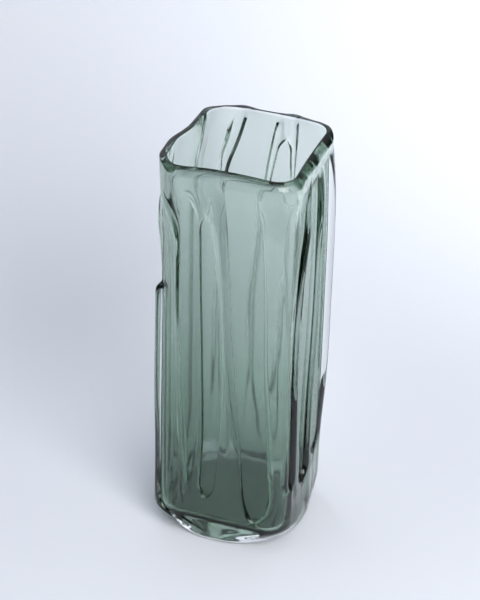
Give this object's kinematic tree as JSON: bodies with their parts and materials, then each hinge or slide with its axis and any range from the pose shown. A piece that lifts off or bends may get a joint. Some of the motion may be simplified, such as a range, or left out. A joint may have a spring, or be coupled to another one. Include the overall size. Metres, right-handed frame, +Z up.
{
  "type": "vase",
  "caption": "Tall square blown glass vase: a smoke-green vessel in a clear foot gather, with thick clear applied trails running down every face.",
  "frame": {"origin": "centre of the foot on the surface that the vase stands on", "axes": "+Z up to the lip, -Y to the face seen nearly square in the picture, +X to its right"},
  "size_m": [0.1246, 0.1249, 0.35],
  "materials": {
    "smoke_glass": "blown, fire-polished, smoke grey-green",
    "clear_glass": "hot-applied, fire-polished, colourless"
  },
  "bodies": {
    "root": {"tinted_body": "smoke_glass", "base_gather": "clear_glass", "front_left_trail": "clear_glass", "front_slim_trail": "clear_glass", "front_ribbon": "clear_glass", "front_corner_ribbon": "clear_glass", "right_front_trail": "clear_glass", "right_middle_trail": "clear_glass", "right_back_corner_trail": "clear_glass", "back_right_leg": "clear_glass", "back_left_leg": "clear_glass", "back_ribbon": "clear_glass", "left_back_trail": "clear_glass", "left_front_trail": "clear_glass", "left_corner_trail": "clear_glass"}
  },
  "joints": []
}
